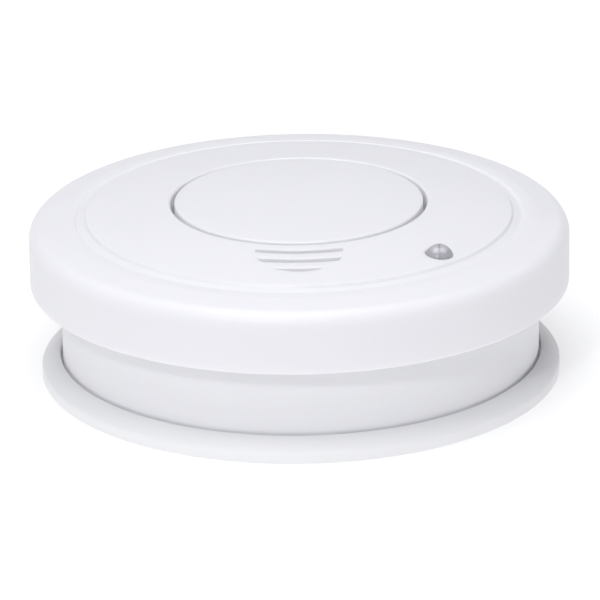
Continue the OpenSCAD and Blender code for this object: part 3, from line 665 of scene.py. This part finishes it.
# The head is frosted inside. Its colour carries painted light: a dark seam of painted shade runs
# across its middle, a pale painted highlight lies on each side of it, and painted shade darkens
# its rim.
frosted = (0.5, 0.49, 0.55, 1)
painted_seam_shade = (0.3, 0.29, 0.35, 1)
painted_facet_highlight = (0.66, 0.65, 0.72, 1)
painted_rim_shade = (0.36, 0.35, 0.4, 1)
highlight_at = (0.8, 1.5)
clear_acrylic = bpy.data.materials.new("clear_acrylic")
clear_acrylic.use_nodes = True
acrylic = clear_acrylic.node_tree
acrylic_shader = acrylic.nodes["Principled BSDF"]
acrylic_shader.inputs["Transmission Weight"].default_value = 0.25
acrylic_shader.inputs["IOR"].default_value = 1.49
on_axis = wire(acrylic, "Mapping", {"Location": (-lens_at[0] * MM, -lens_at[1] * MM, 0)},
               {"Vector": wire(acrylic, "TexCoord").outputs["Object"]})
from_middle = wire(acrylic, "SeparateXYZ", {}, {0: on_axis.outputs[0]})
flat_place = wire(acrylic, "CombineXYZ", {},
                  {0: from_middle.outputs[0], 1: from_middle.outputs[1]})
from_axis = wire(acrylic, "VectorMath", {}, {0: flat_place.outputs[0]}, operation="LENGTH")
offsets = [wire(acrylic, "Math", {}, {0: from_middle.outputs[i]}, operation="ABSOLUTE")
           for i in (0, 1)]
highlight_offsets = [wire(acrylic, "Math", {1: highlight_at[i] * MM}, {0: offsets[i].outputs[0]},
                      operation="SUBTRACT") for i in (0, 1)]
highlight_place = wire(acrylic, "CombineXYZ", {}, {i: highlight_offsets[i].outputs[0] for i in (0, 1)})
from_highlight = wire(acrylic, "VectorMath", {}, {0: highlight_place.outputs[0]}, operation="LENGTH")


def within(near, far, distance):
    """A mask of a distance: whole nearer than near, and none past far."""
    return wire(acrylic, "MapRange", {1: far * MM, 2: near * MM, 3: 0.0, 4: 1.0},
                {0: distance}, interpolation_type="SMOOTHSTEP").outputs[0]


# Painted shade at the rim and along the seam, and painted highlights beside the seam, mixed into
# the frosted colour.
rim_shade_tone = wire(acrylic, "Mix", {6: frosted, 7: painted_rim_shade},
                {0: within(2.3, 1.5, from_axis.outputs["Value"])}, data_type="RGBA")
seam_shade_tone = wire(acrylic, "Mix", {7: painted_seam_shade},
                 {0: within(0.1, 0.4, offsets[0].outputs[0]), 6: rim_shade_tone.outputs[2]},
                 data_type="RGBA")
head_tone_with_painted_light = wire(acrylic, "Mix", {7: painted_facet_highlight},
                 {0: within(0.15, 0.7, from_highlight.outputs["Value"]), 6: seam_shade_tone.outputs[2]},
                 data_type="RGBA")
acrylic.links.new(head_tone_with_painted_light.outputs[2], acrylic_shader.inputs["Base Color"])
haze = wire(acrylic, "TexNoise", {"Scale": 1 / (0.8 * MM), "Detail": 2.0},
            {"Vector": on_axis.outputs[0]})
haze_rough = wire(acrylic, "MapRange", {3: 0.1, 4: 0.3}, {0: haze.outputs["Fac"]})
acrylic.links.new(haze_rough.outputs[0], acrylic_shader.inputs["Roughness"])
coat(lens, clear_acrylic)
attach(lens, "head")
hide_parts("indicator_lens")

# ---- Mounting plate ---------------------------------------------------------------------
# A round white ABS base that is screwed to the ceiling: a soft-shouldered rim about the
# housing, a relief groove under it, two slots for the screws, and three L-shaped hooks that
# the housing turns in under.

plate_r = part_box("mounting_plate")[1].x / MM
plate_t = 1.6
rim_in_r = 47.95
rim_h = 4.6
rim_low = 2
plate_hole_r = 21
relief_r = rim_in_r + 1.2
relief_w = 1
relief_top = plate_t + 0.4
bead_r = plate_hole_r + 1.2
bead_top = plate_t + 0.8
plate_outline = rounded(
    [(relief_r, 0, 0.2), (relief_r, relief_top, 0.2), (relief_r + relief_w, relief_top, 0.2),
     (relief_r + relief_w, 0, 0.2), (plate_r, 0, 0.35), (plate_r, rim_low, 0.9),
     (rim_in_r, rim_h + 0.1, 0.25), (rim_in_r, plate_t, 0.4), (bead_r, plate_t, 0.3),
     (bead_r, bead_top, 0.3), (plate_hole_r, bead_top, 0.3), (plate_hole_r, 0, 0.3)])
plate = lathe("mounting_plate_base", plate_outline)


def sector(name, r0, r1, z0, z1, start, end, steps=12):
    """A piece of ring between two radii, two heights and two angles in degrees."""
    a = np.radians(np.linspace(start, end, steps + 1))
    ring = np.concatenate([np.c_[r1 * np.cos(a), r1 * np.sin(a)],
                           np.c_[r0 * np.cos(a), r0 * np.sin(a)][::-1]])
    return loft(name, np.stack([np.c_[ring, np.full(len(ring), z)] for z in (z0, z1)]))


hook_in_r, hook_out_r = 41.7, 43.9
arm_z, arm_top = 6.6, 8.2
hook_half_angle, arm_end_angle = 2.5, 7
twist_hooks = []
for a in hook_angles:
    hook = sector("twist_hook", hook_in_r, hook_out_r, plate_t - 0.4, arm_top,
                  a - hook_half_angle, a + arm_end_angle)
    carve(hook, [sector("under_arm", hook_in_r - 1, hook_out_r + 1, plate_t - 1, arm_z,
                        a + hook_half_angle, a + arm_end_angle + 1)])
    twist_hooks.append(hook)
carve(plate, twist_hooks, "UNION")
screw_slot_w, screw_slot_l = 4.5, 12
screw_x = 30


def screw_slot_tool(name, x):
    """A slot along X with half-round ends, about a place on the X axis, cut straight up."""
    rad = screw_slot_w / 2
    half = screw_slot_l / 2 - rad
    a = np.linspace(-math.pi / 2, math.pi / 2, 17)
    right = np.c_[half + rad * np.cos(a), rad * np.sin(a)]
    ring = np.concatenate([right, -right]) + (x, 0)
    return loft(name, np.stack([np.c_[ring, np.full(len(ring), z)] for z in (-1, plate_t + 1)]))


carve(plate, [screw_slot_tool("screw_slot", x) for x in (-screw_x, screw_x)])
crisp(plate)
# The plate's white is lighter than the cover's: painted light that makes up for the shade under
# the cover's overhang.
coat(plate, moulded("plate_white_lightened_against_shade", (0.92, 0.918, 0.95), (0.905, 0.903, 0.94), grain=0.5,
                    **thin_wall))
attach(plate, "plate")
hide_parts("mounting_plate")

# ---- Back housing -----------------------------------------------------------------------
# A drum moulded from the same ABS, its white painted lighter than the cover's against the shade
# under the skirt. Its floor turns in under the plate's hooks, its wall has the smoke windows, and
# a box in it holds the battery from below.


def dress(material, *names):
    """Gives the solids of these names a material in all their slots."""
    for name in names:
        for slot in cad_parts[name].material_slots:
            slot.material = material


# Lighter than the cover's white: painted light that makes up for the shade under the skirt.
dress(moulded("housing_white_lightened_against_shade", (0.86, 0.858, 0.9), (0.845, 0.843, 0.885), grain=0.5,
              **thin_wall), "back_housing")

# ---- Screws, pin and other plated steel -------------------------------------------------
# Zinc-plated steel: four screws from below into the cover's posts, three that hold the
# board, the lockout lever's pin, and the battery's snap contacts. Solder legs are tinned.

zinc = metal("zinc_plate", (0.66, 0.67, 0.69), (0.5, 0.51, 0.53), 1.2, 0.3, 0.25)
tinned = metal("tinned_leg", (0.74, 0.74, 0.73), (0.6, 0.6, 0.59), 0.6, 0.35, 0.2)
dress(zinc, "housing_screws", "board_screws", "lockout_pin", "snap_socket", "snap_stud",
      "battery_positive_stud", "battery_negative_socket")
dress(tinned, "chip_legs", "drive_coil_legs", "emitter_legs", "photodiode_legs",
      "sounder_contacts")
dress(spring_steel, "lockout_spring")

# ---- Rating label -----------------------------------------------------------------------
# A blank paper label with a satin face, stuck under the housing's floor.

dress(moulded("label_paper", (0.84, 0.84, 0.82), (0.8, 0.8, 0.78), grain=0.12, roughness=0.6,
              spread=0.2, depth=0.01), "rating_label")

# ---- Circuit board ----------------------------------------------------------------------
# Glass-fibre laminate under green solder mask. Copper tracks show through the mask as paler
# lines, in staggered runs.

board_skin = bpy.data.materials.new("solder_mask")
board_skin.use_nodes = True
board_tree = board_skin.node_tree
board_shader = board_tree.nodes["Principled BSDF"]
board_place = wire(board_tree, "TexCoord").outputs["Object"]
tracks = wire(board_tree, "TexBrick",
              {"Color1": (0.022, 0.13, 0.055, 1), "Color2": (0.028, 0.15, 0.065, 1),
               "Mortar": (0.07, 0.27, 0.1, 1), "Scale": 1 / MM, "Mortar Size": 0.22,
               "Mortar Smooth": 0.1, "Brick Width": 7.62, "Row Height": 2.54},
              {"Vector": board_place}, offset=0.33)
glass = wire(board_tree, "TexNoise", {"Scale": 1 / (0.4 * MM), "Detail": 2.0},
             {"Vector": board_place})
glass_rough = wire(board_tree, "MapRange", {3: 0.25, 4: 0.45}, {0: glass.outputs["Fac"]})
track_height = wire(board_tree, "Bump", {"Strength": 0.5, "Distance": 0.035 * MM},
                    {"Height": tracks.outputs["Fac"]})
board_tree.links.new(tracks.outputs["Color"], board_shader.inputs["Base Color"])
board_tree.links.new(glass_rough.outputs[0], board_shader.inputs["Roughness"])
board_tree.links.new(track_height.outputs["Normal"], board_shader.inputs["Normal"])
dress(board_skin, "circuit_board")

# ---- Parts on the board -----------------------------------------------------------------
# Black moulded packages, sleeved capacitors, a wound coil, chip resistors and capacitors,
# the indicator's light, and the test switch.

package = moulded("package_black", (0.022, 0.022, 0.024), (0.03, 0.03, 0.032), grain=0.2,
                  roughness=0.5, spread=0.25, depth=0.015)
dress(package, "control_chip", "transistors", "surface_resistors")
dress(moulded("capacitor_sleeve", (0.02, 0.045, 0.16), (0.025, 0.055, 0.19), grain=0.6,
              roughness=0.25, Coat_Weight=0.4), "capacitors")
dress(moulded("coil_shrink", (0.03, 0.03, 0.034), (0.05, 0.03, 0.02), grain=0.5,
              roughness=0.4), "drive_coil")
dress(moulded("chip_ceramic", (0.48, 0.36, 0.22), (0.42, 0.3, 0.18), grain=0.15,
              roughness=0.35), "surface_capacitors")
dress(moulded("light_epoxy", (0.8, 0.74, 0.5), (0.74, 0.66, 0.4), grain=0.3, roughness=0.2),
      "board_light")
black_moulding = moulded("black_moulding", (0.018, 0.018, 0.019), (0.026, 0.026, 0.027),
                         grain=0.3, roughness=0.62, spread=0.2, depth=0.02)
dress(black_moulding, "test_switch_body", "chamber_base", "chamber_cap", "contact_block",
      "battery_end_plate")
dress(moulded("plunger_grey", (0.045, 0.045, 0.047), (0.06, 0.06, 0.062), grain=0.3),
      "test_switch_plunger")

# ---- Optical chamber --------------------------------------------------------------------
# Matt black light traps about an infrared emitter and a photodiode. A band of woven steel
# mesh around them keeps insects out; its wires cross at a third of a millimetre.

dress(moulded("emitter_epoxy", (0.35, 0.4, 0.55), (0.3, 0.35, 0.5), grain=0.8, roughness=0.12,
              spread=0.1, Transmission_Weight=0.6, IOR=1.54), "infrared_emitter")
dress(moulded("receiver_epoxy", (0.015, 0.015, 0.02), (0.02, 0.02, 0.028), grain=0.8,
              roughness=0.12, spread=0.1, Coat_Weight=0.5), "photodiode")
screen_pitch = 0.35
screen_low, screen_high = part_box("insect_screen")
screen_middle = (screen_low + screen_high) / 2
screen_r = (screen_high.x - screen_low.x) / 2 / MM
woven = bpy.data.materials.new("woven_steel")
woven.use_nodes = True
weave = woven.node_tree
weave_shader = weave.nodes["Principled BSDF"]
weave_shader.inputs["Metallic"].default_value = 1.0
weave_place = wire(weave, "Mapping", {"Location": tuple(-screen_middle)},
                   {"Vector": wire(weave, "TexCoord").outputs["Object"]})
weave_axes = wire(weave, "SeparateXYZ", {}, {0: weave_place.outputs[0]})
weave_turn = wire(weave, "Math", {}, {0: weave_axes.outputs[1], 1: weave_axes.outputs[0]},
                  operation="ARCTAN2")
weave_waves = []
for source, scale in ((weave_turn.outputs[0], screen_r / screen_pitch * math.pi),
                      (weave_axes.outputs[2], math.pi / (screen_pitch * MM))):
    phase = wire(weave, "Math", {1: scale}, {0: source}, operation="MULTIPLY")
    wave = wire(weave, "Math", {}, {0: phase.outputs[0]}, operation="SINE")
    weave_waves.append(wire(weave, "Math", {}, {0: wave.outputs[0]}, operation="ABSOLUTE"))
thread = wire(weave, "Math", {}, {0: weave_waves[0].outputs[0], 1: weave_waves[1].outputs[0]},
              operation="MINIMUM")
gap = wire(weave, "MapRange", {1: 0.6, 2: 0.7, 3: 1.0, 4: 0.0}, {0: thread.outputs[0]})
# The wires darken from their middles towards their edges: painted shade on their rounded sides.
thread_edge_shade_tone = wire(weave, "Mix", {6: (0.6, 0.6, 0.61, 1), 7: (0.38, 0.38, 0.39, 1)},
                   {0: thread.outputs[0]}, data_type="RGBA")
thread_round = wire(weave, "Bump", {"Strength": 0.6, "Distance": 0.05 * MM},
                    {"Height": thread.outputs[0]}, invert=True)
thread_rough = wire(weave, "MapRange", {3: 0.3, 4: 0.45}, {0: thread.outputs[0]})
weave.links.new(thread_edge_shade_tone.outputs[2], weave_shader.inputs["Base Color"])
weave.links.new(gap.outputs[0], weave_shader.inputs["Alpha"])
weave.links.new(thread_rough.outputs[0], weave_shader.inputs["Roughness"])
weave.links.new(thread_round.outputs["Normal"], weave_shader.inputs["Normal"])
dress(woven, "insect_screen")

# ---- Sounder ----------------------------------------------------------------------------
# A brass disc with a ceramic face, clamped by its edge between a white base and a horn whose
# mouth lies under the sound slots.

dress(moulded("sounder_white", (0.85, 0.85, 0.84), (0.83, 0.83, 0.82), grain=0.5,
              **thin_wall), "sounder_base", "sounder_horn")
dress(metal("sounder_brass", (0.78, 0.58, 0.26), (0.62, 0.43, 0.18), 2.0, 0.28, 0.25),
      "sounder_disc")
dress(moulded("piezo_ceramic", (0.78, 0.74, 0.64), (0.7, 0.66, 0.56), grain=0.2,
              roughness=0.55), "sounder_ceramic")

# ---- Battery, leads and lockout ---------------------------------------------------------
# A nine-volt block: six plated cells in a plain printed steel can. Red and black leads run to
# the board, and a red lever swings out when no battery holds it in.

dress(moulded("battery_jacket", (0.045, 0.065, 0.11), (0.06, 0.08, 0.13), grain=0.25,
              roughness=0.3, spread=0.15, Coat_Weight=0.5), "battery")
dress(metal("cell_can", (0.68, 0.68, 0.69), (0.54, 0.54, 0.55), 1.0, 0.3, 0.2), "battery_cells")
dress(moulded("lever_red", (0.5, 0.03, 0.02), (0.44, 0.025, 0.018), grain=0.4), "lockout_lever")
dress(moulded("lead_red", (0.42, 0.02, 0.015), (0.36, 0.018, 0.012), grain=0.3),
      "battery_lead_red")
dress(moulded("lead_black", (0.02, 0.02, 0.021), (0.03, 0.03, 0.031), grain=0.3),
      "battery_lead_black")
